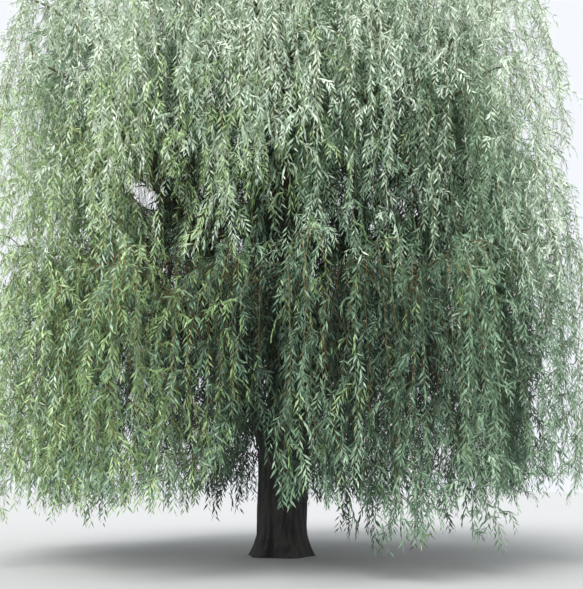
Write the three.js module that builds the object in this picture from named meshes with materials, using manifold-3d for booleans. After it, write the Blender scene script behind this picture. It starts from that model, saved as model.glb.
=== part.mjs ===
// A weeping willow, rooted in the ground: one trunk, five leaders that rise from its fork, boughs that
// leave the leaders in rings, and a hanging mass of foliage on the tip of each limb. Millimetres, +Z up,
// and the origin is in the middle of the flat cut at ground level. The usual viewer stands on the -Y side.
import * as THREE from "three";
import { mergeVertices } from "three/addons/utils/BufferGeometryUtils.js";
import Module from "manifold-3d";

const wasm = await Module();
wasm.setup();

// The whole tree.
const TREE_HEIGHT = 16400;
const CROWN_RADIUS = 7100;
const WIDEST_HEIGHT = 6400; // the crown is widest here, and draws in above and below
const DOME_POWER = 3.2; // how square the crown's shoulders are
const SKIRT_DRAW_IN = 0.1; // how much narrower the crown is at the ground
const JOIN_GAP = 0.3; // between two pieces that bear on each other

// The trunk, from the ground to its fork.
const TRUNK = {
  height: 2450, waist: 575, foot: 740, fork: 640, lean: 70, ripple: 0.025, sides: 16, rings: 8,
};
const FLARE = { height: 620, lobes: 5, depth: 0.09 };

// The leaders: which way each leans, the reach and height of its tip, the height where it leaves the
// trunk, and its radius there. They lean out first, and then climb more and more steeply.
const LEADERS = [
  { name: "centre", turn: 70, reach: 420, height: 13500, leaves: 2000, girth: 330 },
  { name: "left", turn: 183, reach: 2700, height: 12300, leaves: 1650, girth: 290 },
  { name: "right", turn: 345, reach: 2500, height: 12800, leaves: 1900, girth: 285 },
  { name: "back", turn: 88, reach: 2600, height: 12500, leaves: 1900, girth: 270 },
  { name: "front", turn: 262, reach: 2500, height: 12200, leaves: 1950, girth: 255 },
];
const LEADER = { tip: 85, spread: 1.7, sway: 5, bends: 6, sides: 7, segments: 6 };

// The rings of boughs, and the mass that each bough carries. turns is the bearing of each bough, and along
// where it leaves its leader, as a share of the leader's length. run is how far the mass's stem goes on
// outwards, rise how far it climbs, spread how far its twigs reach sideways, and fall how far they hang.
// In front, the skirt's boughs end lower and nearer.
const TOP = { name: "top", run: 2600, rise: 2300, spread: 1700, fall: 3900, twigs: 5 };
const SPIRE = { ...TOP, run: 1700, rise: 3300, fall: 3200 };
const RINGS = [
  {
    name: "crown", turns: [340, 26, 78, 130, 204, 250, 300], reach: 4200, height: 11200, along: 0.66,
    run: 2200, rise: 1600, spread: 1700, fall: 3600, twigs: 5,
  },
  {
    name: "upper", turns: [0, 50, 100, 150, 218, 272, 322], reach: 4100, height: 8700, along: 0.46,
    run: 2000, rise: 1100, spread: 1900, fall: 4200, twigs: 5,
  },
  {
    name: "skirt", turns: [331, 299, 268, 238, 206, 174, 124, 72, 20], reach: 4200, height: 5900,
    along: 0.25, run: 2000, rise: 350, spread: 1700, fall: 6000, twigs: 4,
    front: { lower: 1500, nearer: 600 },
  },
  {
    name: "inner", turns: [282], reach: 2200, height: 4900, along: 0.16,
    run: 1100, rise: 150, spread: 1000, fall: 3600, twigs: 3,
  },
];
const FRONT = { turn: 266, width: 6 };
const UNEVEN = { height: 700, turn: 4, reach: 0.05 }; // how far the boughs' tips stray from their ring
const BOUGH = { girth: 0.6, tip: 55, arch: 0.1, stagger: 0.06, sides: 6, segments: 3 };

// The hem of the crown: its usual height over the ground, and how much lower it hangs on the near right.
const HEM = { height: 1150, dip: 750, turn: 310, width: 6 };

// The masses of foliage. A stem runs on along its limb, turns outwards over its shoulder and dips at its
// end. A twig runs out from it until it settles, with a slight lift, and plunges. A spray is tried at each
// of the smaller sizes until one fits.
const STEM = {
  tip: 42, sides: 4, segments: 3, sprays: 3, onward: 0.4, shoulder: 0.75, dip: 0.2, first: 0.15,
};
const SPACE = { sites: 5, droop: 700, inner: 2, shorter: 0.45 };
const TWIG = {
  root: 30, tip: 20, sides: 3, segments: 3, steps: 24, shortest: 700,
  settle: 4, lift: 0.9, plunge: 1.4, swing: [105, 20], stray: 20, run: [0.4, 1], fall: [0.8, 1.1],
};
const SPRAY = {
  length: 2000, width: 520, thickness: 44, widest: 0.4, smallest: 0.75, every: 850,
  splay: 0.4, stray: 60, twist: 30, sunk: 12, hang: 0.8, tries: [1, 0.8, 0.62, 0.48],
};
const CLEAR = { wall: 40, wood: 100, edge: 250, ground: 300 };

// Numbers from 0 to 1 that depend only on the seed, so that the tree grows the same each time.
function chances(seed, count) {
  return Array.from({ length: count }, (_, nth) => {
    const wave = Math.sin(seed * 127.1 + nth * 311.7) * 43758.5453;
    return wave - Math.floor(wave);
  });
}

function between([low, high], share) {
  return low + (high - low) * share;
}

// A point by its distance from the trunk's axis, its bearing in degrees (0 right, 90 away) and its height.
function around(reach, turn, height = 0) {
  const bearing = THREE.MathUtils.degToRad(turn);
  return new THREE.Vector3(reach * Math.cos(bearing), reach * Math.sin(bearing), height);
}

function bearingOf(point) {
  return THREE.MathUtils.radToDeg(Math.atan2(point.y, point.x));
}

// How near a bearing is to another: 1 when they are the same, falling to 0 at a right angle.
function facing(turn, other, width = 1) {
  return Math.max(0, Math.cos(THREE.MathUtils.degToRad(turn - other))) ** width;
}

// The crown's radius at a height: an even dome over a skirt that draws in a little.
function crownRadius(height) {
  if (height < WIDEST_HEIGHT) {
    return CROWN_RADIUS * (1 - SKIRT_DRAW_IN * (1 - height / WIDEST_HEIGHT) ** 2);
  }
  const up = Math.min(1, (height - WIDEST_HEIGHT) / (TREE_HEIGHT - WIDEST_HEIGHT));
  return CROWN_RADIUS * (1 - up ** DOME_POWER) ** (1 / DOME_POWER);
}

function hemHeight(turn) {
  return HEM.height - HEM.dip * facing(turn, HEM.turn, HEM.width);
}

// A closed geometry as a solid that can be joined and cut.
function solidOf(geometry) {
  const bare = new THREE.BufferGeometry().setAttribute("position", geometry.getAttribute("position"));
  const merged = mergeVertices(bare.setIndex(geometry.getIndex()), 1e-3);
  const vertProperties = merged.getAttribute("position").array;
  const triVerts = new Uint32Array(merged.getIndex().array);
  return new wasm.Manifold(new wasm.Mesh({ numProp: 3, vertProperties, triVerts }));
}

function geometryOf(solid) {
  const { numProp, numVert, vertProperties, triVerts } = solid.getMesh();
  const places = new Float32Array(numVert * 3);
  for (let i = 0; i < numVert; i++) {
    places.set(vertProperties.subarray(i * numProp, i * numProp + 3), i * 3);
  }
  const geometry = new THREE.BufferGeometry();
  geometry.setAttribute("position", new THREE.BufferAttribute(places, 3));
  geometry.setIndex(new THREE.BufferAttribute(triVerts, 1));
  geometry.computeVertexNormals();
  return geometry;
}

// The largest body of a solid: scraps that a cut leaves are dropped.
function largest(solid) {
  return solid.decompose().sort((a, b) => b.volume() - a.volume())[0];
}

// The trunk: a cylinder whose rings follow the taper and the lean, lobed where the roots run out.
function trunkGeometry(extra = 0) {
  const { height, waist, foot, fork, lean, ripple, sides, rings } = TRUNK;
  const geometry = new THREE.CylinderGeometry(1, 1, height, sides, rings);
  geometry.rotateX(Math.PI / 2).translate(0, 0, height / 2);
  const place = geometry.getAttribute("position");
  for (let i = 0; i < place.count; i++) {
    const z = place.getZ(i);
    const up = z / height;
    const toGround = Math.max(0, 1 - z / FLARE.height);
    const bearing = Math.atan2(place.getY(i), place.getX(i));
    const radius = waist + (foot - waist) * toGround ** 2 + (fork - waist) * up ** 3;
    const lobes = FLARE.depth * toGround * Math.sin(FLARE.lobes * bearing + 1);
    const scale = radius * (1 + lobes + ripple * Math.sin(3 * bearing)) + extra;
    place.setXYZ(i, place.getX(i) * scale + lean * up, place.getY(i) * scale, z);
  }
  return geometry;
}

// A tapering limb along a curve: a cylinder whose rings are carried to the curve and scaled to the taper.
function limbGeometry(curve, radiusAt, { sides, segments }, extra = 0) {
  const geometry = new THREE.CylinderGeometry(1, 1, 1, sides, segments);
  const frames = curve.computeFrenetFrames(segments, false);
  const place = geometry.getAttribute("position");
  for (let i = 0; i < place.count; i++) {
    const ring = Math.round((place.getY(i) + 0.5) * segments);
    const radius = radiusAt(ring / segments) + extra;
    const point = curve.getPointAt(ring / segments);
    point.addScaledVector(frames.binormals[ring], place.getX(i) * radius);
    point.addScaledVector(frames.normals[ring], place.getZ(i) * radius);
    place.setXYZ(i, point.x, point.y, point.z);
  }
  return geometry;
}

function tapering(from, to) {
  return (along) => between([from, to], along ** 0.85);
}

class LeaderCurve extends THREE.Curve {
  constructor(plan) {
    super();
    this.plan = plan;
  }

  getPoint(share) {
    const { turn, reach, height, leaves } = this.plan;
    const out = reach * (1 - (1 - share) ** LEADER.spread);
    const sway = LEADER.sway * Math.sin(LEADER.bends * share + turn);
    const point = around(out, turn + sway, between([leaves, height], share));
    point.x += TRUNK.lean;
    return point;
  }
}

function leaderOf(plan) {
  return {
    name: `leader_${plan.name}`,
    label: plan.name,
    turn: plan.turn,
    curve: new LeaderCurve(plan),
    radiusAt: tapering(plan.girth, LEADER.tip),
    shape: LEADER,
    habit: plan.name === "centre" ? SPIRE : TOP,
  };
}

const leaders = LEADERS.map(leaderOf);

// A bough leaves the leader nearest its bearing, climbs outwards, and levels off at its tip.
function boughOf(ring, index) {
  const [turnStray, heightStray, reachStray] = chances(ring.height + index, 3).map((share) => 2 * share - 1);
  const turn = ring.turns[index] + UNEVEN.turn * turnStray;
  const front = facing(turn, FRONT.turn, FRONT.width);
  const { lower = 0, nearer = 0 } = ring.front ?? {};
  const height = ring.height + UNEVEN.height * heightStray - lower * front;
  const reach = ring.reach * (1 + UNEVEN.reach * reachStray) - nearer * front;
  const nearest = (a, b) => facing(b.turn, turn) - facing(a.turn, turn);
  const leader = leaders.slice(1).sort(nearest)[0];
  const along = ring.along + BOUGH.stagger * (index % 3);
  const foot = leader.curve.getPointAt(along);
  const tip = around(reach, turn, height);
  const middle = foot.clone().lerp(tip, 0.5);
  middle.z += BOUGH.arch * foot.distanceTo(tip);
  return {
    name: `bough_${ring.name}_${index + 1}`,
    label: `${index + 1}`,
    turn,
    curve: new THREE.QuadraticBezierCurve3(foot, middle, tip),
    radiusAt: tapering(leader.radiusAt(along) * BOUGH.girth, BOUGH.tip),
    shape: BOUGH,
    habit: ring,
  };
}

const boughs = RINGS.flatMap((ring) => ring.turns.map((_, index) => boughOf(ring, index)));
const limbs = [...leaders, ...boughs];

// Each mass's stem goes on from its limb's tip. Its sites mark the space that it fills: the stem and the
// air that its twigs hang in.
function massOf(limb, index) {
  const { habit, label } = limb;
  const tip = limb.curve.getPointAt(1);
  const onward = limb.curve.getTangentAt(1);
  const outward = around(1, bearingOf(tip));
  const start = tip.clone().addScaledVector(onward, JOIN_GAP);
  const middle = start.clone().addScaledVector(onward, STEM.onward * habit.run);
  const over = start.clone().addScaledVector(outward, STEM.shoulder * habit.run);
  const end = start.clone().addScaledVector(outward, habit.run);
  over.z += habit.rise;
  end.z += (1 - STEM.dip) * habit.rise;
  const curve = new THREE.CubicBezierCurve3(start, middle, over, end);
  const hem = Math.max(hemHeight(limb.turn), end.z - habit.fall);
  const sites = [];
  for (let step = 1; step <= SPACE.sites; step++) {
    const site = curve.getPointAt(step / SPACE.sites);
    const lowest = step <= SPACE.inner ? Math.max(hem, site.z - SPACE.shorter * habit.fall) : hem;
    for (let z = site.z; z > lowest; z -= SPACE.droop) sites.push(site.clone().setZ(z));
  }
  const name = `foliage_${habit.name}_${label}`;
  return { name, limb, habit, curve, outward, hem, sites, seed: 1000 * (index + 1) };
}

const masses = limbs.map(massOf);

// How far a point is inside its mass's space.
function roomIn(mass, point) {
  const nearest = (sites) => Math.min(...sites.map((site) => site.distanceTo(point)));
  const others = masses.filter((other) => other !== mass).map((other) => nearest(other.sites));
  return (Math.min(...others) - nearest(mass.sites)) / 2;
}

const wood = limbs.flatMap(({ curve, radiusAt }) =>
  Array.from({ length: 61 }, (_, i) => ({ point: curve.getPointAt(i / 60), radius: radiusAt(i / 60) })),
);
for (let z = 0; z < TRUNK.height; z += 150) {
  wood.push({ point: new THREE.Vector3(TRUNK.lean * (z / TRUNK.height), 0, z), radius: TRUNK.foot });
}

// Whether a thing of this size at this point stays in the crown, in its mass's space, and clear of wood.
function fits(mass, point, size = 0) {
  const inCrown = Math.hypot(point.x, point.y) < crownRadius(point.z) && point.z > CLEAR.ground;
  if (!inCrown || roomIn(mass, point) < size + CLEAR.wall) return false;
  return wood.every((piece) => piece.point.distanceTo(point) > piece.radius + size + CLEAR.wood);
}

// A point on a limb's straight facets, as the solid has them, so that what grows there sits in the wood.
function facetPoint(curve, along, segments) {
  const step = Math.min(Math.floor(along * segments), segments - 1);
  const from = curve.getPointAt(step / segments);
  return from.lerp(curve.getPointAt((step + 1) / segments), along * segments - step);
}

// A twig runs out sideways from the stem, those near its end more onwards, then arches over and hangs. It
// stops where it would leave its mass's space, and keeps one spray's length above the hem.
function twigPoints(mass, index) {
  const { habit, seed } = mass;
  const [swingShare, runShare, fallShare] = chances(seed + index, 3);
  const along = (index + 0.5) / habit.twigs;
  const root = facetPoint(mass.curve, between([STEM.first, 1], along), STEM.segments);
  const swing = (index % 2 ? 1 : -1) * (between(TWIG.swing, along) + TWIG.stray * swingShare);
  const heading = around(1, bearingOf(mass.outward) + swing);
  const run = habit.spread * between(TWIG.run, runShare);
  const fullFall = habit.fall * between(TWIG.fall, fallShare);
  const fall = Math.min(fullFall, root.z - mass.hem) - SPRAY.hang * SPRAY.length;
  const points = [root];
  for (let step = 1; step <= TWIG.steps; step++) {
    const share = step / TWIG.steps;
    const unsettled = Math.exp(-TWIG.settle * share);
    const point = root.clone().addScaledVector(heading, run * (1 - unsettled));
    point.z += TWIG.lift * run * share * unsettled - fall * share ** TWIG.plunge;
    const inward = Math.min(1, (crownRadius(point.z) - CLEAR.edge) / Math.hypot(point.x, point.y));
    point.set(point.x * inward, point.y * inward, point.z);
    if (!fits(mass, point, TWIG.root)) break;
    points.push(point);
  }
  return points;
}

// A spray of leaves: a long flat blade that hangs from its twig and is widest before its middle. Its flat
// sides face out of the crown and into it, give or take its twist.
function sprayGeometry({ root, direction, side, size }) {
  const geometry = new THREE.OctahedronGeometry(1);
  const normal = direction.clone().cross(side);
  const place = geometry.getAttribute("position");
  for (let i = 0; i < place.count; i++) {
    const along = place.getX(i) === 0 ? SPRAY.widest : (1 + place.getX(i)) / 2;
    const point = root.clone().addScaledVector(direction, along * SPRAY.length * size);
    point.addScaledVector(side, (place.getY(i) * SPRAY.width * size) / 2);
    point.addScaledVector(normal, (place.getZ(i) * SPRAY.thickness) / 2);
    place.setXYZ(i, point.x, point.y, point.z);
  }
  return mergeVertices(new THREE.BufferGeometry().setAttribute("position", place), 1e-3);
}

function sprayFits(mass, { root, direction, side, size }) {
  const at = (along, across) => {
    const point = root.clone().addScaledVector(direction, along * SPRAY.length * size);
    return point.addScaledVector(side, (across * SPRAY.width * size) / 2);
  };
  const { widest } = SPRAY;
  const spine = [widest / 2, widest, (1 + widest) / 2, 1].map((along) => at(along, 0));
  return [...spine, at(widest, -1), at(widest, 1)].every((point) => fits(mass, point));
}

// The sprays down a stem or a twig and at its end, turn about to either side. One that would leave its
// mass's space or touch wood is made smaller, or left out.
function spraysOn(mass, curve, segments, number, seed) {
  const sprays = [];
  for (let nth = 1; nth <= number; nth++) {
    const along = nth / number;
    const [turnShare, sizeShare] = chances(seed + nth, 2);
    const stray = 2 * turnShare - 1;
    const size = between([SPRAY.smallest, 1], sizeShare);
    const point = facetPoint(curve, along, segments);
    const sideways = bearingOf(mass.outward) + (nth % 2 ? 90 : -90) + SPRAY.stray * stray;
    const direction = curve.getTangentAt(along).setZ(-1);
    direction.addScaledVector(around(1, sideways), SPRAY.splay).normalize();
    const side = around(1, bearingOf(point) + 90 + SPRAY.twist * stray);
    side.addScaledVector(direction, -side.dot(direction)).normalize();
    const root = point.addScaledVector(direction, -SPRAY.sunk);
    const tries = SPRAY.tries.map((share) => ({ root, direction, side, size: size * share }));
    const spray = tries.find((one) => sprayFits(mass, one));
    if (spray) sprays.push(solidOf(sprayGeometry(spray)));
  }
  return sprays;
}

function growMass(mass) {
  const stemRadius = tapering(mass.limb.radiusAt(1), STEM.tip);
  const pieces = [solidOf(limbGeometry(mass.curve, stemRadius, STEM))];
  pieces.push(...spraysOn(mass, mass.curve, STEM.segments, STEM.sprays, mass.seed + 900));
  for (let index = 0; index < mass.habit.twigs; index++) {
    const points = twigPoints(mass, index);
    if (points.length < 4) continue;
    const twig = new THREE.CatmullRomCurve3(points);
    const length = twig.getLength();
    if (length < TWIG.shortest) continue;
    const number = Math.round(length / SPRAY.every);
    pieces.push(solidOf(limbGeometry(twig, tapering(TWIG.root, TWIG.tip), TWIG)));
    pieces.push(...spraysOn(mass, twig, TWIG.segments, number, mass.seed + 100 + 20 * index));
  }
  return largest(wasm.Manifold.union(pieces));
}

const bark = new THREE.MeshStandardMaterial({ color: 0x4d443b, roughness: 0.95, metalness: 0 });
const leaf = new THREE.MeshStandardMaterial({ color: 0x7f9a72, roughness: 0.6, metalness: 0 });
const willow = new THREE.Group();

function addMesh(name, solid, material) {
  const mesh = new THREE.Mesh(geometryOf(solid), material);
  mesh.name = name;
  willow.add(mesh);
}

addMesh("trunk", solidOf(trunkGeometry()), bark);

// A limb's foot starts inside what carries it, and is cut to that surface.
const cutters = [solidOf(trunkGeometry(JOIN_GAP))];
limbs.forEach(({ name, curve, radiusAt, shape }) => {
  const whole = solidOf(limbGeometry(curve, radiusAt, shape));
  addMesh(name, largest(cutters.reduce((rest, cutter) => rest.subtract(cutter), whole)), bark);
  cutters.push(solidOf(limbGeometry(curve, radiusAt, shape, JOIN_GAP)));
});

masses.forEach((mass) => addMesh(mass.name, growMass(mass), leaf));

export default willow;
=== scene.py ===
import math

import bmesh
import bpy
import numpy as np
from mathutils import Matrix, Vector, noise


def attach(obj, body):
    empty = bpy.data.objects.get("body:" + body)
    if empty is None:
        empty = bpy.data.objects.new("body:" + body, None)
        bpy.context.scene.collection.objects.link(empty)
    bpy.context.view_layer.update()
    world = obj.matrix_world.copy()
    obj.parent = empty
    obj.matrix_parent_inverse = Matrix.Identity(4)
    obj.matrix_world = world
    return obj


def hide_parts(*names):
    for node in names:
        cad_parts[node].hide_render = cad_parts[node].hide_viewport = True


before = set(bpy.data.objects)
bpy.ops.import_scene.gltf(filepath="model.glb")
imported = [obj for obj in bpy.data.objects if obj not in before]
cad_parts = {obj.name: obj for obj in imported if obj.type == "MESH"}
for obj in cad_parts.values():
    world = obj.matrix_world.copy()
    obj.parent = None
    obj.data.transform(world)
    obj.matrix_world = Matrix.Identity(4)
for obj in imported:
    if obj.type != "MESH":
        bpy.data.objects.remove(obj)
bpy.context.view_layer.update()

# The camera
# It stands at eye height on level ground, well back from the tree, and looks up a little, so that the
# crown fills the frame and runs out of its top.
EYE = (0.24, -18.7, 1.5)
LOOKS_UP = 13.5
FOCAL_PIXELS = 800
PICTURE_PIXELS = 589  # the picture's longer side, which the sensor's width covers
SENSOR = 36

camera_data = bpy.data.cameras.new("camera")
camera_data.sensor_width = SENSOR
camera_data.lens = SENSOR * FOCAL_PIXELS / PICTURE_PIXELS
camera = bpy.data.objects.new("camera", camera_data)
camera.location = EYE
camera.rotation_euler = (math.radians(90 + LOOKS_UP), 0, 0)
bpy.context.scene.collection.objects.link(camera)
bpy.context.scene.camera = camera

# The trunk
# A stout trunk of solid wood, cut flat at the ground, where it flares into five root lobes, and forked
# just above head height. The bark of old willow is thick, dark grey-brown and furrowed lengthwise.
TRUNK = {  # in metres, like all sizes here, with its radii at the waist, the foot and the fork
    "height": 2.45, "waist": 0.575, "foot": 0.74, "fork": 0.64, "widens": 3, "lean": 0.07,
    "ripple": 0.025, "ripples": 3,
}
FLARE = {"height": 0.62, "lobes": 5, "depth": 0.09, "turn": 1}
TRUNK_TOP = {"height": 0.2, "least": 0.001}  # where the top rounds off, and the square of what it keeps
TRUNK_GRID = {"around": 150, "along": 110}
FURROW = {"depth": 0.035, "share": 0.07, "across": 5.5, "along": 0.95, "roughest": 2.2, "finer": 0.5}
RIDGE_NOISE = (0.9, 2.2, 3, 1.0, 1.6)  # its increment, lacunarity, octaves, offset and gain
BARK = {
    "colour": (0.06, 0.05, 0.042), "roughness": 0.92,
    "furrows": (0.25, (0.010, 0.009, 0.010)), "ridges": (0.8, (0.090, 0.082, 0.078)),
    "algae": (0.045, 0.058, 0.032, 1), "clean": (0.5, (0, 0, 0)), "filmed": (0.7, (0.4, 0.4, 0.4)),
    "patches": 1.7, "patch_detail": 3, "cracks": (26, 26, 5), "crack_detail": 5,
    "ridge_height": 0.6, "crack_height": 0.4, "bump": 0.8, "bump_depth": 0.012,
}
PATH_STEPS = 200
SHORTEST = 1e-9
WELD = 1e-5


def point(x, y, z):
    return np.stack(np.broadcast_arrays(x, y, z), axis=-1).astype(float)


def unit(vectors):
    return vectors / np.maximum(np.linalg.norm(vectors, axis=-1, keepdims=True), SHORTEST)


class Path:
    """A curve through close points, read by its share of the length, and the tone of what grows on it."""

    def __init__(self, points, tone=0.5):
        self.points, self.tone = points, tone
        steps = np.linalg.norm(np.diff(points, axis=0), axis=1)
        self.reached = np.concatenate([[0], np.cumsum(steps)])
        self.length = self.reached[-1]

    def at(self, share):
        reached = np.asarray(share) * self.length
        return np.stack([np.interp(reached, self.reached, axis) for axis in self.points.T], axis=-1)

    def heading(self, share):
        step = 0.5 / PATH_STEPS
        share = np.asarray(share, float)
        return unit(self.at(np.minimum(share + step, 1)) - self.at(np.maximum(share - step, 0)))


def frames(headings, across):
    """Two directions square to each heading, the first as near to the across direction as it can be."""
    first = unit(across - headings * np.sum(across * headings, axis=-1, keepdims=True))
    return first, np.cross(headings, first)


def rolled_grid(name, grid):
    """A sheet mesh, with each vertex's share of the way along and its bearing round the limb."""
    sheet = bmesh.new()
    bmesh.ops.create_grid(sheet, x_segments=grid["along"], y_segments=grid["around"], size=0.5)
    skin = bpy.data.meshes.new(name)
    sheet.to_mesh(skin)
    sheet.free()
    places = np.empty(3 * len(skin.vertices), np.float32)
    skin.vertices.foreach_get("co", places)
    places = places.reshape(-1, 3)
    return skin, places[:, 0] + 0.5, 2 * math.pi * (places[:, 1] + 0.5)


def furrows(grain):
    """How proud the bark stands, from 0 in a furrow to 1 on a ridge."""
    stretch = Vector((FURROW["across"], FURROW["across"], FURROW["along"]))
    ridged = [noise.ridged_multi_fractal(Vector(place) * stretch, *RIDGE_NOISE) for place in grain]
    return np.clip(np.array(ridged) / FURROW["roughest"], 0, 1)


def bark_skin(name, path, across, radius_at, grid, lean=0.0):
    """A skin of bark: a sheet rolled round the path, furrowed lengthwise, and finer where it is thin."""
    skin, along, bearing = rolled_grid(name, grid)
    radius = radius_at(along, bearing)
    grain = point(radius * np.cos(bearing), radius * np.sin(bearing), along * path.length)
    grain = grain / np.minimum(1, radius / TRUNK["waist"])[:, None] ** FURROW["finer"]
    ridge = furrows(grain)
    proud = (ridge - 1) * np.minimum(FURROW["depth"], FURROW["share"] * radius)
    first, second = frames(path.heading(along), across)
    out = first * np.cos(bearing)[:, None] + second * np.sin(bearing)[:, None]
    places = path.at(along) + out * (radius + proud)[:, None] + point(lean * along, 0, 0)
    skin.vertices.foreach_set("co", places.astype(np.float32).ravel())
    for key, kind, field, values in (
        ("grain", "FLOAT_VECTOR", "vector", grain),
        ("ridge", "FLOAT", "value", ridge),
    ):
        skin.attributes.new(key, kind, "POINT").data.foreach_set(field, values.astype(np.float32).ravel())
    return skin


def trunk_radius(along, bearing):
    """Waist, flare, lobes and fork, as the solid has them, with the top rounded off."""
    height = along * TRUNK["height"]
    to_ground = np.maximum(0, 1 - height / FLARE["height"])
    radius = TRUNK["waist"] + (TRUNK["foot"] - TRUNK["waist"]) * to_ground**2
    radius = radius + (TRUNK["fork"] - TRUNK["waist"]) * along ** TRUNK["widens"]
    lobes = FLARE["depth"] * to_ground * np.sin(FLARE["lobes"] * bearing + FLARE["turn"])
    to_top = np.clip((height - TRUNK["height"] + TRUNK_TOP["height"]) / TRUNK_TOP["height"], 0, 1)
    rounding = np.sqrt(np.maximum(1 - to_top**2, TRUNK_TOP["least"]))
    return radius * rounding * (1 + lobes + TRUNK["ripple"] * np.sin(TRUNK["ripples"] * bearing))


def as_piece(name, mesh, materials, nodes):
    """A finished mesh as a piece of the tree, in place of the solids that it stands for."""
    piece = bpy.data.objects.new(name, mesh)
    bpy.context.scene.collection.objects.link(piece)
    for material in materials:
        mesh.materials.append(material)
    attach(piece, "root")
    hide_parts(*nodes)


def wood_piece(name, skins, material, nodes):
    """Skins of bark joined into one mesh, each welded along its seam and closed at its ends."""
    wood = bmesh.new()
    for skin in skins:
        wood.from_mesh(skin)
        bpy.data.meshes.remove(skin)
    bmesh.ops.remove_doubles(wood, verts=wood.verts, dist=WELD)
    bmesh.ops.holes_fill(wood, edges=wood.edges, sides=0)
    bmesh.ops.recalc_face_normals(wood, faces=wood.faces)
    mesh = bpy.data.meshes.new(name)
    wood.to_mesh(mesh)
    wood.free()
    mesh.shade_smooth()
    as_piece(name, mesh, [material], nodes)


class Channel:
    """A value in a material's nodes that sums and products can be written with."""

    def __init__(self, finish, socket):
        self.finish, self.socket = finish, socket

    def maths(self, operation, *values):
        return self.finish.node("ShaderNodeMath", {"operation": operation}, dict(enumerate(values)))

    def __add__(self, other):
        return self.maths("ADD", self, other)

    def __mul__(self, other):
        return self.maths("MULTIPLY", self, other)

    __radd__ = __add__
    __rmul__ = __mul__


class Finish:
    """A material of one Principled shader, and one method that adds any other node."""

    def __init__(self, name, colour, roughness, shine=0.5):
        self.material = bpy.data.materials.new(name)
        self.material.use_nodes = True
        self.shader = self.material.node_tree.nodes["Principled BSDF"]
        self.shader.inputs["Base Color"].default_value = (*colour, 1)
        self.shader.inputs["Roughness"].default_value = roughness
        self.shader.inputs["Specular IOR Level"].default_value = shine

    def node(self, kind, settings, sockets, output=0):
        added = self.material.node_tree.nodes.new(kind)
        for setting, value in settings.items():
            if setting == "stops":
                for stop, (place, shade) in zip(added.color_ramp.elements, value):
                    stop.position, stop.color = place, (*shade, 1)
            else:
                setattr(added, setting, value)
        for socket, value in sockets.items():
            self.feed(added.inputs[socket], value)
        return Channel(self, added.outputs[output])

    def feed(self, socket, value):
        if isinstance(value, Channel):
            self.material.node_tree.links.new(value.socket, socket)
        else:
            socket.default_value = value


def bark_finish():
    """Dark furrows, greyer ridges, a green film of algae in patches, and fine cracks as a bump."""
    finish = Finish("willow_bark", BARK["colour"], BARK["roughness"])
    grain = finish.node("ShaderNodeAttribute", {"attribute_name": "grain"}, {}, "Vector")
    ridge = finish.node("ShaderNodeAttribute", {"attribute_name": "ridge"}, {}, "Fac")
    stretched = finish.node("ShaderNodeMapping", {}, {"Vector": grain, "Scale": BARK["cracks"]})
    cracks = finish.node(
        "ShaderNodeTexNoise", {}, {"Vector": stretched, "Scale": 1, "Detail": BARK["crack_detail"]})
    patches = finish.node(
        "ShaderNodeTexNoise", {}, {"Vector": grain, "Scale": BARK["patches"], "Detail": BARK["patch_detail"]})
    height = ridge * BARK["ridge_height"] + cracks * BARK["crack_height"]
    tone = finish.node("ShaderNodeValToRGB", {"stops": [BARK["furrows"], BARK["ridges"]]}, {"Fac": height})
    film = finish.node("ShaderNodeValToRGB", {"stops": [BARK["clean"], BARK["filmed"]]}, {"Fac": patches})
    # In a mix of colours, socket 0 is the factor, 6 and 7 are the two colours, and output 2 is the result.
    mixed = finish.node("ShaderNodeMix", {"data_type": "RGBA"}, {0: film, 6: tone, 7: BARK["algae"]}, 2)
    finish.feed(finish.shader.inputs["Base Color"], mixed)
    bump = finish.node(
        "ShaderNodeBump", {}, {"Height": height, "Strength": BARK["bump"], "Distance": BARK["bump_depth"]})
    finish.feed(finish.shader.inputs["Normal"], bump)
    return finish.material


bark = bark_finish()
axis = Path(point(0, 0, np.linspace(0, TRUNK["height"], PATH_STEPS)))
trunk_skin = bark_skin("trunk", axis, point(1, 0, 0), trunk_radius, TRUNK_GRID, TRUNK["lean"])
wood_piece("trunk_in_bark", [trunk_skin], bark, ["trunk"])

# The leaders
# Five main stems of solid wood that rise from the trunk's fork, lean out first and then climb. Each swells
# at its foot, and each tip carries foliage of its own habit, which climbs highest in the middle.
LEADERS = {
    "centre": {"turn": 70, "reach": 0.42, "height": 13.5, "foot": 2.0, "girth": 0.33},
    "left": {"turn": 183, "reach": 2.7, "height": 12.3, "foot": 1.65, "girth": 0.29},
    "right": {"turn": 345, "reach": 2.5, "height": 12.8, "foot": 1.9, "girth": 0.285},
    "back": {"turn": 88, "reach": 2.6, "height": 12.5, "foot": 1.9, "girth": 0.27},
    "front": {"turn": 262, "reach": 2.5, "height": 12.2, "foot": 1.95, "girth": 0.255},
}
LEADER = {"tip": 0.085, "spread": 1.7, "sway": 5, "bends": 6}
TAPER = 0.85
COLLAR = {"swell": 0.3, "length": 0.35}  # how a limb swells at its foot
LEADER_GRID = {"around": 44, "along": 170}
TOP = {"name": "top", "run": 2.6, "rise": 2.3, "spread": 1.7, "fall": 3.9, "twigs": 5}
SPIRE = {**TOP, "run": 1.7, "rise": 3.3, "fall": 3.2, "opening": 110}


def between(low, high, share):
    return low + (high - low) * share


def around(reach, turn, height=0.0):
    """Points by distance from the trunk's axis, bearing in degrees and height."""
    bearing = np.radians(turn)
    return point(reach * np.cos(bearing), reach * np.sin(bearing), height)


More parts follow.
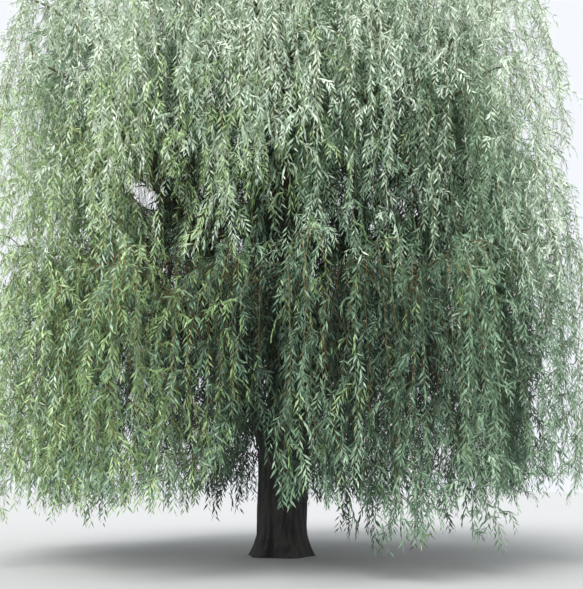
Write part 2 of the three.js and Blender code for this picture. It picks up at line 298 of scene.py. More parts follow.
class Limb:
    """A leader or a bough: its path, its taper, and the name and habit of the foliage on its tip."""

    def __init__(self, kind, name, foliage, bearing, path, girth, tip, habit):
        self.kind, self.name, self.foliage = kind, name, foliage
        self.bearing, self.path = bearing, path
        self.girth, self.tip, self.habit = girth, tip, habit

    def radius(self, along):
        return between(self.girth, self.tip, np.asarray(along) ** TAPER)


def leader_path(plan):
    share = np.linspace(0, 1, PATH_STEPS + 1)
    out = plan["reach"] * (1 - (1 - share) ** LEADER["spread"])
    sway = LEADER["sway"] * np.sin(LEADER["bends"] * share + plan["turn"])
    places = around(out, plan["turn"] + sway, between(plan["foot"], plan["height"], share))
    return Path(places + point(TRUNK["lean"], 0, 0))


def leader_of(name, plan):
    habit = SPIRE if name == "centre" else TOP
    path = leader_path(plan)
    return Limb(
        "leader", f"leader_{name}", f"top_{name}", plan["turn"], path, plan["girth"], LEADER["tip"], habit)


def collared(limb):
    """The limb's radius, the same all round, by the share of the way along, swollen at the foot."""
    def radius_at(along, bearing):
        swollen = 1 + COLLAR["swell"] * np.exp(-along * limb.path.length / COLLAR["length"])
        return limb.radius(along) * swollen

    return radius_at


def limbs_in_bark(name, group, grid):
    skins = [
        bark_skin(limb.name, limb.path, around(1, limb.bearing + 90), collared(limb), grid) for limb in group
    ]
    wood_piece(name, skins, bark, [limb.name for limb in group])


leaders = [leader_of(name, plan) for name, plan in LEADERS.items()]
limbs_in_bark("leaders_in_bark", leaders, LEADER_GRID)

# The boughs
# Tapering limbs of solid wood that leave the four outer leaders in four rings, each from the one nearest to
# its own bearing. They arch up a little on their way out, and each tip carries foliage of its ring's habit.
RINGS = [
    {
        "name": "crown", "turns": [340, 26, 78, 130, 204, 250, 300], "reach": 4.2, "height": 11.2,
        "along": 0.66, "run": 2.2, "rise": 1.6, "spread": 1.7, "fall": 3.6, "twigs": 5,
    },
    {
        "name": "upper", "turns": [0, 50, 100, 150, 218, 272, 322], "reach": 4.1, "height": 8.7,
        "along": 0.46, "run": 2.0, "rise": 1.1, "spread": 1.9, "fall": 4.2, "twigs": 5,
    },
    {
        "name": "skirt", "turns": [331, 299, 268, 238, 206, 174, 124, 72, 20], "reach": 4.2,
        "height": 5.9, "along": 0.25, "run": 2.0, "rise": 0.35, "spread": 1.7, "fall": 6.0, "twigs": 4,
        "lower": 1.5, "nearer": 0.6,
    },
    {
        "name": "inner", "turns": [282], "reach": 2.2, "height": 4.9, "along": 0.16,
        "run": 1.1, "rise": 0.15, "spread": 1.0, "fall": 3.6, "twigs": 3,
    },
]
FRONT = {"turn": 266, "width": 6}  # the side where the skirt's boughs end lower and nearer to the trunk
UNEVEN = {"height": 0.7, "turn": 4, "reach": 0.05}
BOUGH = {"girth": 0.6, "tip": 0.055, "arch": 0.1, "stagger": 0.06, "staggered": 3}
BOUGH_GRID = {"around": 18, "along": 44}
MILLIMETRES = 1000  # a ring's height in these is its seed
CHANCE = {"seed": 127.1, "number": 311.7, "size": 43758.5453}  # so large and uneven that nothing repeats


def chances(seed, count):
    """Numbers from 0 to 1 that depend only on the seed."""
    waves = np.sin(seed * CHANCE["seed"] + np.arange(count) * CHANCE["number"]) * CHANCE["size"]
    return waves - np.floor(waves)


def facing(turn, other, width=1):
    return np.maximum(0, np.cos(np.radians(turn - other))) ** width


def bezier(*corners):
    """A Bezier path by its control points."""
    share = np.linspace(0, 1, PATH_STEPS + 1)[:, None]
    level = [np.broadcast_to(corner, (PATH_STEPS + 1, 3)) for corner in corners]
    while len(level) > 1:
        level = [a + (b - a) * share for a, b in zip(level, level[1:])]
    return Path(level[0])


def bough_of(ring, index):
    turn_stray, height_stray, reach_stray = 2 * chances(ring["height"] * MILLIMETRES + index, 3) - 1
    turn = ring["turns"][index] + UNEVEN["turn"] * turn_stray
    front = facing(turn, FRONT["turn"], FRONT["width"])
    height = ring["height"] + UNEVEN["height"] * height_stray - ring.get("lower", 0) * front
    reach = ring["reach"] * (1 + UNEVEN["reach"] * reach_stray) - ring.get("nearer", 0) * front
    leader = max(leaders[1:], key=lambda one: facing(one.bearing, turn))
    along = ring["along"] + BOUGH["stagger"] * (index % BOUGH["staggered"])
    foot, tip = leader.path.at(along), around(reach, turn, height)
    middle = (foot + tip) / 2
    middle[2] += BOUGH["arch"] * np.linalg.norm(tip - foot)
    foliage = f"{ring['name']}_{index + 1}"
    girth = leader.radius(along) * BOUGH["girth"]
    path = bezier(foot, middle, tip)
    return Limb("bough", f"bough_{foliage}", foliage, turn, path, girth, BOUGH["tip"], ring)


boughs = [bough_of(ring, index) for ring in RINGS for index in range(len(ring["turns"]))]
limbs_in_bark("boughs_in_bark", boughs, BOUGH_GRID)

# The twigs
# Thin living wood: brown stems, golden streamers, and sprays that are green, or golden low on the left. A
# forked stem runs on from each limb's tip and arches over, and side branches leave the limb lower down.
# Whip-like streamers hang from every stem, and short drooping sprays branch off them all the way down.
TREE_HEIGHT = 16.4
CROWN_RADIUS = 7.1
WIDEST_HEIGHT = 6.4
DOME_POWER = 3.2
SKIRT_DRAW_IN = 0.1
HEM = {"height": 1.15, "dip": 0.75, "turn": 310, "width": 6}  # how low the streamers of a limb may fall
BRIM = {"height": 1.2, "lift": 0.3, "turn": 345, "width": 6}  # the curtain's edge, drawn up on the right
PARTING = {"lift": 1.2, "turn": 265.5, "width": 350}  # where it parts a little in front of the trunk
TASSELS = [  # where two bunches hang lower
    {"dip": 0.65, "turn": 291.5, "width": 280},
    {"dip": 0.6, "turn": 312, "width": 220},
]
RAGGED = {"depth": 0.2, "waves": (17, 41)}
SPACE = {  # the room that the foliage of each limb keeps to
    "sites": 5, "droop": 0.7, "inner": 2, "shorter": 0.45, "overlap": 2.2, "wood": 0.03, "margin": 0.15,
    "top": 0.2, "wood_points": 61,
}
GAPS = [  # small openings right through the crown, as seen from the camera against the plane of the trunk
    {"x": -3.5, "z": 8.6, "radius": 0.2},
    {"x": -3.25, "z": 8.4, "radius": 0.22},
    {"x": -3.74, "z": 8.78, "radius": 0.13},
    {"x": -3.0, "z": 8.62, "radius": 0.1},
    {"x": 3.04, "z": 8.08, "radius": 0.1},
]
STEM = {
    "tip": 0.021, "onward": 0.4, "shoulder": 0.75, "dip": 0.2, "first": 0.15, "taper": 0.4, "ring": 0.35,
    "rings": 5, "sides": 5, "opening": 44,
}
FORKS = [  # where on the limb each fork starts, how far it turns aside, and its shares of length and girth
    {"along": 1.0, "aside": 0, "size": 1.0, "girth": 1.0},
    {"along": 0.93, "aside": -1, "size": 0.85, "girth": 0.7},
    {"along": 0.86, "aside": 1, "size": 0.85, "girth": 0.7},
]
STREAMER = {
    "each": 0.46,  # on each fork, for each twig that the solids have and each metre that it falls
    "fuller": 0.45,  # and more by this share to the left and right, where the crown is densest
    "swing": (125, 5), "stray": 25, "run": (0.1, 1.05), "fall": (0.42, 1.65), "edge": 0.3,
    "drawn_in": 0.5, "settle": 4, "lift": 0.9, "plunge": 1.4, "steps": 24, "sway": 0.22, "wave": 2.6,
    "alike": 0.7,  # how much of their fall the streamers of one stem share, which makes tassels of them
    "shortest": 0.6, "fewest": 3, "root": 0.0048, "tip": 0.0018, "rings": 6,
}
SIDES = {  # how side branches leave a leader, a leader's top, a bough and a fork of a stem
    "leader": {
        "first": 0.16, "last": 0.7, "every": 0.6, "length": (2.2, 1.9), "rise": 0.35, "streamers": 6,
        "spread": 0.9, "spiral": True,
    },
    "crest": {
        "first": 0.66, "last": 1.0, "every": 0.25, "length": (3.3, 2.7), "rise": 0.8, "streamers": 6,
        "spread": 1.0, "spiral": True,
    },
    "bough": {
        "first": 0.16, "last": 0.97, "every": 0.6, "length": (1.7, 0.9), "rise": 0.5, "streamers": 6,
        "spread": 0.9, "spiral": False,
    },
    "fork": {
        "first": 0.2, "last": 0.98, "every": 0.7, "length": (1.3, 0.8), "rise": 0.35, "streamers": 4,
        "spread": 0.45, "spiral": False,
    },
}
SIDE = {
    "spiral": 137.5, "aside": (30, 80), "longer": (0.7, 1.1), "higher": (0.4, 1.6), "bends": (0.3, 0.8),
    "droops": 0.4, "root": 0.5, "tip": 0.01,
}
INNER = {"fall": (1.0, 3.6), "hem": 2.2}  # how streamers fall from the side branches inside the crown
SEED = {  # how far apart the seeds of neighbours are
    "limb": 1000, "inside": 500, "fork": 100, "sides": 50, "side": 10, "fall": 7, "tone": 3,
}
SPRAY = {"root": 0.0055, "tip": 0.0015, "rings": 3, "fewest": 3}
TWIG_TINTS = {
    "twig_golden": (0.27, 0.18, 0.075),
    "twig_green": (0.10, 0.115, 0.05),
    "twig_brown": (0.15, 0.132, 0.08),
}
GOLDEN, GREEN, BROWN = range(3)
TWIG_SURFACE = {"roughness": 0.8, "shine": 0.2}
YELLOW = {
    "turn": 218, "width": 2, "highest": 10.2, "fade": 2.4, "golden": 0.6, "share": 0.65,
    "shoulder": 0.12, "near_shoulder": 0.3,
}


def bearing_of(places):
    return np.degrees(np.arctan2(places[..., 1], places[..., 0]))


class Stem:
    """A branch that streamers hang from, and how far they run out and fall."""

    def __init__(self, path, bearing, girth, tip, spread, fall, hem, streamers, seed, inside):
        self.path, self.bearing, self.girth, self.tip = path, bearing, girth, tip
        self.spread, self.fall, self.hem = spread, fall, hem
        self.streamers, self.seed, self.inside = streamers, seed, inside

    def radius(self, along):
        return between(self.girth, self.tip, np.asarray(along) ** STEM["taper"])


def stems_on(limb, seed):
    """The forked stem that runs on from a limb's tip: each fork turns over its shoulder and dips."""
    habit, outward = limb.habit, bearing_of(limb.path.at(1))
    opening = habit.get("opening", STEM["opening"])
    fall = np.array(STREAMER["fall"]) * habit["fall"]
    hem = HEM["height"] - HEM["dip"] * facing(limb.bearing, HEM["turn"], HEM["width"])
    fuller = 1 + STREAMER["fuller"] * math.cos(math.radians(limb.bearing)) ** 2
    streamers = round(STREAMER["each"] * habit["twigs"] * habit["fall"] * fuller)
    stems = []
    for nth, fork in enumerate(FORKS):
        root, turn = limb.path.at(fork["along"]), outward + opening * fork["aside"]
        run, rise = fork["size"] * habit["run"], fork["size"] * habit["rise"]
        middle = root + limb.path.heading(fork["along"]) * STEM["onward"] * run
        over = root + around(STEM["shoulder"] * run, turn, rise)
        end = root + around(run, turn, (1 - STEM["dip"]) * rise)
        path = bezier(root, middle, over, end)
        girth = limb.radius(fork["along"]) * fork["girth"]
        lowest = max(hem, end[2] - fall[1])
        stems.append(Stem(path, turn, girth, STEM["tip"], habit["spread"], fall, lowest, streamers,
                          seed + SEED["fork"] * nth, False))
    return stems


def side_stems(parent, kind, fall, hem, seed, inside):
    """The side branches of a limb or a fork: all round a leader, to either side of the others."""
    habit = SIDES[kind]
    number = int(parent.path.length * (habit["last"] - habit["first"]) / habit["every"])
    stems = []
    for nth in range(number):
        open_share, length_share, rise_share = chances(seed + nth, 3)
        along = between(habit["first"], habit["last"], (nth + 1) / number)
        aside = between(*SIDE["aside"], open_share) * (1 if nth % 2 else -1)
        turn = parent.bearing + (SIDE["spiral"] * nth if habit["spiral"] else aside)
        length = between(*habit["length"], along) * between(*SIDE["longer"], length_share)
        root, out = parent.path.at(along), around(length, turn)
        rise = point(0, 0, habit["rise"] * length * between(*SIDE["higher"], rise_share))
        bends = [root + out * share + rise for share in SIDE["bends"]]
        path = bezier(root, *bends, root + out + rise * SIDE["droops"])
        girth = SIDE["root"] * parent.radius(along)
        stems.append(Stem(path, turn, girth, SIDE["tip"], habit["spread"], fall, hem,
                          habit["streamers"], seed + SEED["side"] * nth, inside))
    return stems


def stems_of(owner, limb, kind):
    """All stems of one kind that the limb's streamers hang from: on its tip, or along the limb."""
    if kind != "tip":
        seed = SEED["limb"] * (owner + 1) + SEED["inside"]
        return side_stems(limb, kind, INNER["fall"], INNER["hem"], seed, True)
    forks = tip_stems[owner]
    sides = [
        side_stems(fork, "fork", fork.fall, fork.hem, fork.seed + SEED["sides"], False) for fork in forks
    ]
    return forks + sum(sides, [])


def sites_of(stem, habit):
    """Points that mark the space of a limb's foliage: its stem, and the air that its streamers hang in."""
    sites = []
    for step in range(1, SPACE["sites"] + 1):
        x, y, z = stem.path.at(step / SPACE["sites"])
        inner = max(stem.hem, z - SPACE["shorter"] * habit["fall"])
        lowest = inner if step <= SPACE["inner"] else stem.hem
        sites.extend((x, y, lower) for lower in np.arange(z, lowest, -SPACE["droop"]))
    return np.array(sites)


limbs = leaders + boughs
tip_stems = [stems_on(limb, SEED["limb"] * (index + 1)) for index, limb in enumerate(limbs)]
sites = [sites_of(stems[0], limb.habit) for stems, limb in zip(tip_stems, limbs)]
site_places = np.concatenate(sites)
site_owners = np.repeat(np.arange(len(limbs)), [len(own) for own in sites])
wood_shares = np.linspace(0, 1, SPACE["wood_points"])
wood_places = np.concatenate([limb.path.at(wood_shares) for limb in limbs])
wood_radii = np.concatenate([limb.radius(wood_shares) for limb in limbs])


def crown_radius(height):
    """How far out the crown reaches at a height: a dome over a skirt that draws in a little."""
    skirt = 1 - SKIRT_DRAW_IN * (1 - np.minimum(height, WIDEST_HEIGHT) / WIDEST_HEIGHT) ** 2
    up = np.clip((height - WIDEST_HEIGHT) / (TREE_HEIGHT - WIDEST_HEIGHT), 0, 1)
    return CROWN_RADIUS * skirt * (1 - up**DOME_POWER) ** (1 / DOME_POWER)


def lowest_at(places):
    """How low foliage hangs, by bearing: a ragged hem with two tassels, parted in front of the trunk."""
    turn = bearing_of(places)
    ragged = sum(np.sin(np.radians(number * turn)) for number in RAGGED["waves"])
    hem = BRIM["height"] + RAGGED["depth"] * ragged
    for lifted in (BRIM, PARTING):
        hem += lifted["lift"] * facing(turn, lifted["turn"], lifted["width"])
    for tassel in TASSELS:
        hem -= tassel["dip"] * facing(turn, tassel["turn"], tassel["width"])
    return hem


def distances(places, others):
    """How far each place is from each of the others."""
    squares = np.sum(places**2, axis=1)[:, None] + np.sum(others**2, axis=1) - 2 * places @ others.T
    return np.sqrt(np.maximum(squares, 0))


def in_space(owner, places, inside):
    """Whether each place is in the crown, clear of wood and, out on the tips, in its limb's own space."""
    fits = np.hypot(places[:, 0], places[:, 1]) < crown_radius(places[:, 2]) + SPACE["margin"]
    fits &= places[:, 2] < TREE_HEIGHT - SPACE["top"]
    fits &= places[:, 2] > lowest_at(places)
    fits &= np.all(distances(places, wood_places) > wood_radii + SPACE["wood"], axis=1)
    if not inside:
        to_sites = distances(places, site_places)
        mine = site_owners == owner
        room = (to_sites[:, ~mine].min(axis=1) - to_sites[:, mine].min(axis=1)) / 2
        fits &= room > -SPACE["overlap"]
    return fits


def in_gap(places):
    """Whether each place stands in front of or behind one of the openings, as seen from the camera."""
    eye = np.array(EYE)
    sights = places - eye
    seen = eye - sights * eye[1] / sights[:, 1:2]
    gaps = [np.hypot(seen[:, 0] - gap["x"], seen[:, 2] - gap["z"]) < gap["radius"] for gap in GAPS]
    return np.any(gaps, axis=0)


def streamer_points(stem):
    """Points down every streamer of a stem, before any of them is cut back."""
    order = np.arange(stem.streamers)
    share = (order + 0.5) / stem.streamers
    stray, run_share, fall_share = np.array([chances(stem.seed + nth, 3) for nth in order]).T
    fall_share = between(fall_share, chances(stem.seed + SEED["fall"], 1), STREAMER["alike"])
    roots = stem.path.at(between(STEM["first"], 1, share))
    swing = between(*STREAMER["swing"], share) + STREAMER["stray"] * (2 * stray - 1)
    heading = around(1, stem.bearing + np.where(order % 2, swing, -swing))
    run = stem.spread * between(*STREAMER["run"], run_share)
    fall = np.minimum(between(*stem.fall, fall_share), roots[:, 2] - stem.hem)
    down = np.linspace(0, 1, STREAMER["steps"] + 1)
    unsettled = np.exp(-STREAMER["settle"] * down)
    waves = fall[:, None] * down / STREAMER["wave"] + stray[:, None]
    wave = STREAMER["sway"] * np.sin(2 * np.pi * waves) * down
    places = roots[:, None] + heading[:, None] * (run[:, None] * (1 - unsettled) + wave)[..., None]
    places[..., 2] += STREAMER["lift"] * run[:, None] * down * unsettled
    places[..., 2] -= fall[:, None] * down ** STREAMER["plunge"]
    inward = (crown_radius(places[..., 2]) - STREAMER["edge"]) / np.hypot(places[..., 0], places[..., 1])
    places[..., :2] *= np.clip(inward, STREAMER["drawn_in"], 1)[..., None]
    return places


def grow_streamers(stem, owner):
    """The streamers of a stem, each cut back to where it first leaves its space."""
    places = streamer_points(stem)
    number, steps = places.shape[:2]
    fits = in_space(owner, places.reshape(-1, 3), stem.inside).reshape(number, steps)
    fits[:, 0] = True
    kept = np.logical_and.accumulate(fits, axis=1).sum(axis=1)
    tone = chances(stem.seed + SEED["tone"], 1)[0]
    paths = [Path(line[:count], tone) for line, count in zip(places, kept) if count > STREAMER["fewest"]]
    return [path for path in paths if path.length > STREAMER["shortest"]]


class Sprays:
    """Drooping side twigs, or runs of a streamer, each by its root, its first direction and its length."""

    def __init__(self, paths, habit, owner, inside, draws):
        shares = [
            np.linspace(habit["first"], 1, max(SPRAY["fewest"], int(path.length / habit["every"])))
            for path in paths
        ]
        roots = np.concatenate([path.at(share) for path, share in zip(paths, shares)])
        along = np.full(len(roots), habit["along"]) if "along" in habit else np.concatenate(shares)
        tone = np.repeat([path.tone for path in paths], [len(own) for own in shares])
        length = between(*habit["length"], draws.random(len(roots)))
        self.habit, self.roots, self.lengths = habit, roots, length
        if "splay" in habit:
            splay, lift = (between(*habit[key], draws.random(len(roots))) for key in ("splay", "lift"))
            self.directions = unit(around(splay, 360 * draws.random(len(roots)), lift))
        else:
            self.directions = np.concatenate([path.heading(share) for path, share in zip(paths, shares)])
        lines = self.lines()
        kept = in_space(owner, lines[:, -1], inside)
        for ring in range(SPRAY["rings"]):
            kept &= ~in_gap(lines[:, ring])
        self.roots, self.directions, self.lengths = roots[kept], self.directions[kept], length[kept]
        self.along, self.tone = along[kept], tone[kept]

    def at(self, which, share):
        """Places on the given sprays, and the headings there: a spray turns down along its length."""
        share = share[:, None]
        bend = (point(0, 0, -1) - self.directions[which]) * share
        reach = self.lengths[which][:, None] * share
        places = self.roots[which] + reach * (self.directions[which] + bend / 2)
        return places, unit(self.directions[which] + bend)

    def lines(self):
        """Each spray as a row of places from its root to its end."""
        every = np.arange(len(self.roots))
        shares = np.linspace(0, 1, SPRAY["rings"])
        return np.stack([self.at(every, np.full(len(every), share))[0] for share in shares], axis=1)


def yellowness(places):
    """How yellow the foliage is, from 0 to 1: most low on the left."""
    faded = np.clip((YELLOW["highest"] - places[:, 2]) / YELLOW["fade"], 0, 1)
    return facing(bearing_of(places), YELLOW["turn"], YELLOW["width"]) * faded


def tubes(places, radii, across, sides=3):
    """Closed tapering tubes, each down one row of places and ending in a point: vertices and faces."""
    number, rings = places.shape[:2]
    headings = unit(np.gradient(places, axis=1))
    first, second = frames(headings, across[:, None])
    angles = 2 * np.pi * np.arange(sides) / sides
    out = first[:, :, None] * np.cos(angles)[:, None] + second[:, :, None] * np.sin(angles)[:, None]
    walls = places[:, :-1, None] + out[:, :-1] * radii[:-1, None, None]
    vertices = np.concatenate([walls.reshape(number, -1, 3), places[:, -1:]], axis=1)
    size = vertices.shape[1]
    side = np.arange(sides)
    ring = np.arange(rings - 2)[:, None] * sides
    here, beside = ring + side, ring + (side + 1) % sides
    lower = np.stack([here, beside, beside + sides], axis=-1).reshape(-1, 3)
    upper = np.stack([here, beside + sides, here + sides], axis=-1).reshape(-1, 3)
    last = (rings - 2) * sides
    tip_end = np.stack([last + side, last + (side + 1) % sides, np.full(sides, size - 1)], axis=-1)
    root_end = np.stack([np.zeros(sides - 2, int), side[2:], side[1:-1]], axis=-1)
    faces = np.concatenate([lower, upper, tip_end, root_end])
    faces = faces + size * np.arange(number)[:, None, None]
    return vertices.reshape(-1, 3), faces.reshape(-1, 3)


def tinted(tube, tint):
    vertices, faces = tube
    return vertices, faces, np.full(len(faces), tint)


def joined(parts):
    """Several lots of vertices, faces and tints as one."""
    vertices, faces, tints = zip(*parts)
    starts = np.cumsum([0] + [len(own) for own in vertices])
    moved = [own + start for own, start in zip(faces, starts)]
    return np.concatenate(vertices), np.concatenate(moved), np.concatenate(tints)


def stem_tubes(stems):
    parts = []
    for stem in stems:
        shares = np.linspace(0, 1, STEM["rings"] + int(stem.path.length / STEM["ring"]))
        across = around(1, stem.bearing + 90)[None]
        tube = tubes(stem.path.at(shares)[None], stem.radius(shares), across, STEM["sides"])
        parts.append(tinted(tube, BROWN))
    return joined(parts)


def streamer_tubes(paths):
    shares = np.linspace(0, 1, STREAMER["rings"])
    places = np.array([path.at(shares) for path in paths])
    across = unit(np.cross(places[:, 2] - places[:, 0], point(0, 0, 1)))
    return tinted(tubes(places, between(STREAMER["root"], STREAMER["tip"], shares), across), GOLDEN)


def spray_tubes(sprays):
    """Every spray's twig, golden where the foliage is yellowest and green elsewhere."""
    shares = np.linspace(0, 1, SPRAY["rings"])
    across = unit(np.cross(sprays.directions, point(0, 0, 1)))
    vertices, faces = tubes(sprays.lines(), between(SPRAY["root"], SPRAY["tip"], shares), across)
    tints = np.where(yellowness(sprays.roots) > YELLOW["golden"], GOLDEN, GREEN)
    return vertices, faces, np.repeat(tints, len(faces) // len(tints))


# The leaves
# Willow leaves are narrow, as long as a finger or a hand, and folded a little along the midrib, green
# above and silvery below. They stand off each spray to both sides, and droop.
LEAF = {
    "every": 0.05, "fewest": 3, "first": 0.8, "length": (0.14, 0.2), "width": 0.195, "widest": 0.42,
    "fold": 0.16, "open": (22, 58), "twist": 60, "droop": 0.3, "smaller": 0.35, "smaller_late": 3,
}
KITE = np.array([[0, 1, 2], [0, 2, 3]])  # a leaf's two faces: root, one side, tip and the other side
# One leaf green in steps from the deepest painted shade to the palest painted light, and a yellow leaf as a
# darker olive for painted shade and a paler gold for painted light
LEAF_LIGHT_AND_SHADE_TINTS = {
    "leaf_deepest_shade": (0.034, 0.060, 0.042),
    "leaf_dark": (0.066, 0.115, 0.075),
    "leaf_deep": (0.122, 0.205, 0.130),
    "leaf_green": (0.205, 0.325, 0.205),
    "leaf_sage": (0.355, 0.490, 0.335),
    "leaf_silver": (0.510, 0.640, 0.480),
    "leaf_pale": (0.670, 0.770, 0.610),
    "leaf_olive": (0.240, 0.365, 0.155),
    "leaf_gold": (0.450, 0.605, 0.310),
}
DEEP, SAGE, PALE, OLIVE, GOLD = (
    list(LEAF_LIGHT_AND_SHADE_TINTS).index(f"leaf_{name}") for name in ("deep", "sage", "pale", "olive", "gold")
)
LEAF_SURFACE = {"roughness": 0.5, "shine": 0.2}
LIGHT = {  # painted light and shade: steps from dark to pale, by place in the crown, and by chance; painted shade deeper inside, painted light higher up
    "shade": 5.35, "deeper": -1.4, "higher": 0.45, "lowest": 3.5, "level": 6.5, "highest": 12.4,
    # painted light on the left, where the leaves are yellowest, and paler to the right
    "left": 1.7, "right": 0.4, "right_turn": 330,
    "front_turn": 272, "front_width": 4,
    "front": -1.0, "under": 5.7,  # low down, the front hangs in the upper crown's shade, painted darker
    "brow": 1.3, "over": 8.8,  # higher up, its brow catches the light, painted paler
    "tassel": 1.6, "tone": 2.8, "uneven": 0.9, "end": 0.9, "near_end": 0.3, "leaf": 0.7,
}


def crown_height(reach):
    """How high the dome is at a distance from the trunk's axis."""
    out = np.clip(reach / CROWN_RADIUS, 0, 1)
    return WIDEST_HEIGHT + (TREE_HEIGHT - WIDEST_HEIGHT) * (1 - out**DOME_POWER) ** (1 / DOME_POWER)


def leaf_tints(sprays, spray, share, draws):
    """Painted shade deep in the crown and low in front, painted light higher up and on the left; paler to the
    right and down the tassels; yellower on the left and at the shoulders.
    """
    places = sprays.roots
    reach, height = np.hypot(places[:, 0], places[:, 1]), places[:, 2]
    depth = np.minimum(crown_radius(height) - reach, crown_height(reach) - height)
    turn = bearing_of(places)
    front = facing(turn, LIGHT["front_turn"], LIGHT["front_width"])
    up = np.clip(height, LIGHT["lowest"], LIGHT["highest"]) - LIGHT["level"]
    # painted light and shade by place in the crown, then tone by stem and by chance
    light = LIGHT["shade"] + LIGHT["deeper"] * depth + LIGHT["higher"] * up
    light += LIGHT["right"] * facing(turn, LIGHT["right_turn"]) + LIGHT["left"] * yellowness(places)
    light += LIGHT["front"] * front * np.clip(LIGHT["under"] - height, 0, 1)
    light += LIGHT["brow"] * front * np.clip(height - LIGHT["over"], 0, 1)
    light += LIGHT["tassel"] * (sprays.along - 0.5) + LIGHT["tone"] * (sprays.tone - 0.5)
    light += LIGHT["uneven"] * (draws.random(len(places)) - 0.5)
    yellowish = YELLOW["share"] * yellowness(places)
    yellowish += YELLOW["shoulder"] * (sprays.along < YELLOW["near_shoulder"])
    yellow = draws.random(len(places)) < yellowish
    by_leaf = LIGHT["end"] * (share - LIGHT["near_end"])
    light = light[spray] + by_leaf + LIGHT["leaf"] * (draws.random(len(spray)) - 0.5)
    tints = np.clip(np.floor(light), 0, PALE).astype(int)
    # yellow leaves take the paler gold in painted light and the darker olive in painted shade
    golden = np.where(tints >= SAGE, GOLD, OLIVE)
    return np.where(yellow[spray] & (tints >= DEEP), golden, tints)


def leaves_on(sprays, draws):
    """Leaves down every spray, as folded kites of two triangles: vertices, faces and tints."""
    every = sprays.habit["leaf_every"]
    numbers = np.maximum(LEAF["fewest"], np.round(sprays.lengths / every)).astype(int)
    spray = np.repeat(np.arange(len(numbers)), numbers)
    order = np.arange(len(spray)) - np.repeat(np.cumsum(numbers) - numbers, numbers)
    share = (order + LEAF["first"]) / numbers[spray]
    roots, headings = sprays.at(spray, np.minimum(share, 1))
    first, second = frames(headings, around(1, 360 * draws.random(len(numbers)))[spray])
    count = len(spray)
    spin = np.radians(180 * (order % 2) + LEAF["twist"] * (draws.random(count) - 0.5))[:, None]
    sideways = first * np.cos(spin) + second * np.sin(spin)
    open_by = np.radians(between(*LEAF["open"], draws.random(count)))[:, None]
    out = unit(headings * np.cos(open_by) + sideways * np.sin(open_by) - point(0, 0, LEAF["droop"]))
    smaller = 1 - LEAF["smaller"] * share ** LEAF["smaller_late"]
    length = between(*LEAF["length"], draws.random(count)) * smaller
    length = (length * np.sqrt(every / LEAF["every"]))[:, None]
    normal, across = frames(out, second + draws.normal(size=(count, 3)))
    half = across * length * LEAF["width"] / 2
    middle = roots + out * length * LEAF["widest"] + normal * length * LEAF["width"] * LEAF["fold"]
    kites = np.stack([roots, middle - half, roots + out * length, middle + half], axis=1)
    faces = kites.shape[1] * np.arange(count)[:, None, None] + KITE
    tints = leaf_tints(sprays, spray, share, draws)
    return kites.reshape(-1, 3), faces.reshape(-1, 3), np.repeat(tints, len(KITE))


# The foliage, limb by limb
# The twigs and leaves of a limb grow together, since the leaves stand on the twigs. Then those of
# neighbouring limbs are joined, as one piece of twigs and one of leaves for each part of the crown.
HANGING = {  # from what share of the way along sprays stand, how close, how long, how wide and how steep
    "first": 0.05, "every": 0.44, "length": (0.34, 0.94), "splay": (0.5, 1.5), "lift": (-1.0, 0.3),
    "leaf_every": 0.05,
}
INSIDE = {
    "first": 0.0, "every": 0.6, "length": (0.6, 1.3), "splay": (0.3, 1.0), "lift": (-1.0, -0.2),
    "leaf_every": 0.095,
}
SHOULDER = {
    "first": 0.0, "every": 0.11, "length": (0.4, 1.1), "splay": (0.5, 1.0), "lift": (-0.3, 1.6),
    "leaf_every": 0.05, "along": 0.35,
}
CREST_HANGING = {**HANGING, "leaf_every": 0.07}
TOP_SHOULDER = {**SHOULDER, "every": 0.09, "leaf_every": 0.065}
SKIRT_SHOULDER = {**SHOULDER, "every": 0.16}
INNER_SHOULDER = {**SHOULDER, "every": 0.22, "leaf_every": 0.095}
ON_STREAMER = {"first": 0.1, "every": 0.3, "length": (0.3, 0.34), "leaf_every": 0.06}  # short runs of it
COVER = {  # the sprays on the streamers of each kind of stem, and those on the stem itself
    "tip": (HANGING, SHOULDER),
    "crest": (CREST_HANGING, TOP_SHOULDER),
    "leader": (INSIDE, INNER_SHOULDER),
    "bough": (INSIDE, INNER_SHOULDER),
}
TIP_SHOULDERS = {"top": TOP_SHOULDER, "skirt": SKIRT_SHOULDER}
KINDS = {"leader": ("tip", "leader", "crest"), "bough": ("tip", "bough")}
GROUPS = {
    "top_far": ["top_centre", "top_back"],
    "top_near": ["top_left", "top_right", "top_front"],
    "crown_far": ["crown_2", "crown_3", "crown_4"],
    "crown_near": ["crown_1", "crown_5", "crown_6", "crown_7"],
    "upper_far": ["upper_1", "upper_2", "upper_3", "upper_4"],
    "upper_near": ["upper_5", "upper_6", "upper_7"],
    "skirt_near": ["skirt_1", "skirt_2", "skirt_3", "skirt_4", "inner_1"],
    "skirt_far": ["skirt_5", "skirt_6", "skirt_7", "skirt_8", "skirt_9"],
}


def grow(owner, limb):
    """All that one limb carries: its twigs and its leaves, each as vertices, faces and tints."""
    draws = np.random.default_rng(owner)
    twigs, leaves = [], []
    for kind in KINDS[limb.kind]:
        inside = kind != "tip"
        hanging, shoulder = COVER[kind]
        if not inside:
            shoulder = TIP_SHOULDERS.get(limb.habit["name"], shoulder)
        stems = stems_of(owner, limb, kind)
        paths = [path for stem in stems for path in grow_streamers(stem, owner)]
        twigs += [stem_tubes(stems), streamer_tubes(paths)]
        bearers = [stem.path for stem in stems]
        if kind == limb.kind:
            bearers.append(limb.path)
        for sprays in (
            Sprays(paths, hanging, owner, inside, draws),
            Sprays(bearers, shoulder, owner, inside, draws),
        ):
            twigs.append(spray_tubes(sprays))
            leaves.append(leaves_on(sprays, draws))
        if not inside:
            leaves.append(leaves_on(Sprays(paths, ON_STREAMER, owner, inside, draws), draws))
    return {"twigs": joined(twigs), "leaves": joined(leaves)}


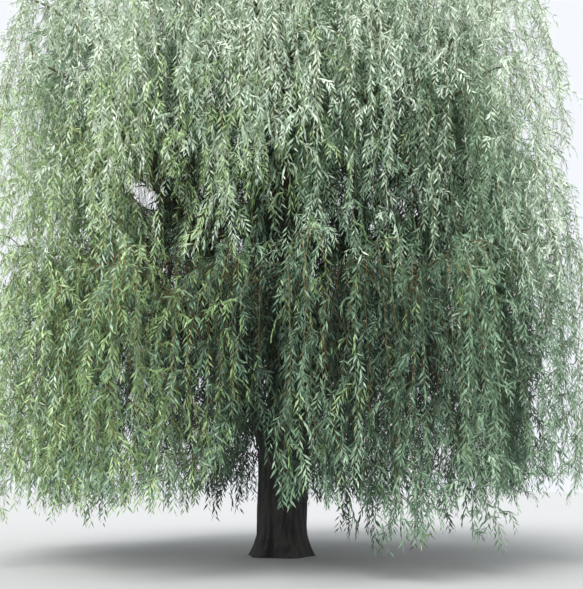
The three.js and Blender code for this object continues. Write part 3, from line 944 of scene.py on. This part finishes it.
def triangle_mesh(name, vertices, faces, tints):
    """A mesh of triangles, each with the material of its tint's number."""
    mesh = bpy.data.meshes.new(name)
    mesh.vertices.add(len(vertices))
    mesh.vertices.foreach_set("co", vertices.astype(np.float32).ravel())
    mesh.loops.add(faces.size)
    mesh.loops.foreach_set("vertex_index", faces.astype(np.int32).ravel())
    mesh.polygons.add(len(faces))
    mesh.polygons.foreach_set("loop_start", np.arange(0, faces.size, 3, dtype=np.int32))
    mesh.polygons.foreach_set("material_index", tints.astype(np.int32))
    mesh.update(calc_edges=True)
    mesh.validate()
    return mesh


def plain_finishes(tints, surface):
    return [Finish(name, colour, **surface).material for name, colour in tints.items()]


FINISHES = {
    "twigs": (plain_finishes(TWIG_TINTS, TWIG_SURFACE), "bark"),
    "leaves": (plain_finishes(LEAF_LIGHT_AND_SHADE_TINTS, LEAF_SURFACE), "leaves"),
}
grown = {limb.foliage: grow(owner, limb) for owner, limb in enumerate(limbs)}
for group, members in GROUPS.items():
    for kind, (finishes, slot) in FINISHES.items():
        mesh = triangle_mesh(f"{kind}_{group}", *joined([grown[member][kind] for member in members]))
        as_piece(f"{kind}_{group}", mesh, finishes, [f"foliage_{member}" for member in members])

# The floor and the light
# A plain pale floor before a plain pale backdrop, with one broad soft light from above and in front.
FLOOR = {"size": 400, "colour": (0.48, 0.48, 0.47), "roughness": 0.9}
BACKDROP = (0.92, 0.95, 1.0, 1)
SOFT_LIGHT = {"energy": 3.2, "width": 40, "down": 38, "aside": -25}

floor_sheet = bmesh.new()
bmesh.ops.create_grid(floor_sheet, x_segments=1, y_segments=1, size=FLOOR["size"] / 2)
floor_mesh = bpy.data.meshes.new("floor")
floor_sheet.to_mesh(floor_mesh)
floor_sheet.free()
floor_mesh.materials.append(Finish("pale_floor", FLOOR["colour"], FLOOR["roughness"]).material)
floor = bpy.data.objects.new("floor", floor_mesh)
bpy.context.scene.collection.objects.link(floor)

world = bpy.data.worlds.new("studio")
world.use_nodes = True
world.node_tree.nodes["Background"].inputs["Color"].default_value = BACKDROP
bpy.context.scene.world = world

light_data = bpy.data.lights.new("soft_light", "SUN")
light_data.energy = SOFT_LIGHT["energy"]
light_data.angle = math.radians(SOFT_LIGHT["width"])
light = bpy.data.objects.new("soft_light", light_data)
light.rotation_euler = (math.radians(SOFT_LIGHT["down"]), 0, math.radians(SOFT_LIGHT["aside"]))
bpy.context.scene.collection.objects.link(light)
bpy.context.scene.view_settings.view_transform = "Standard"
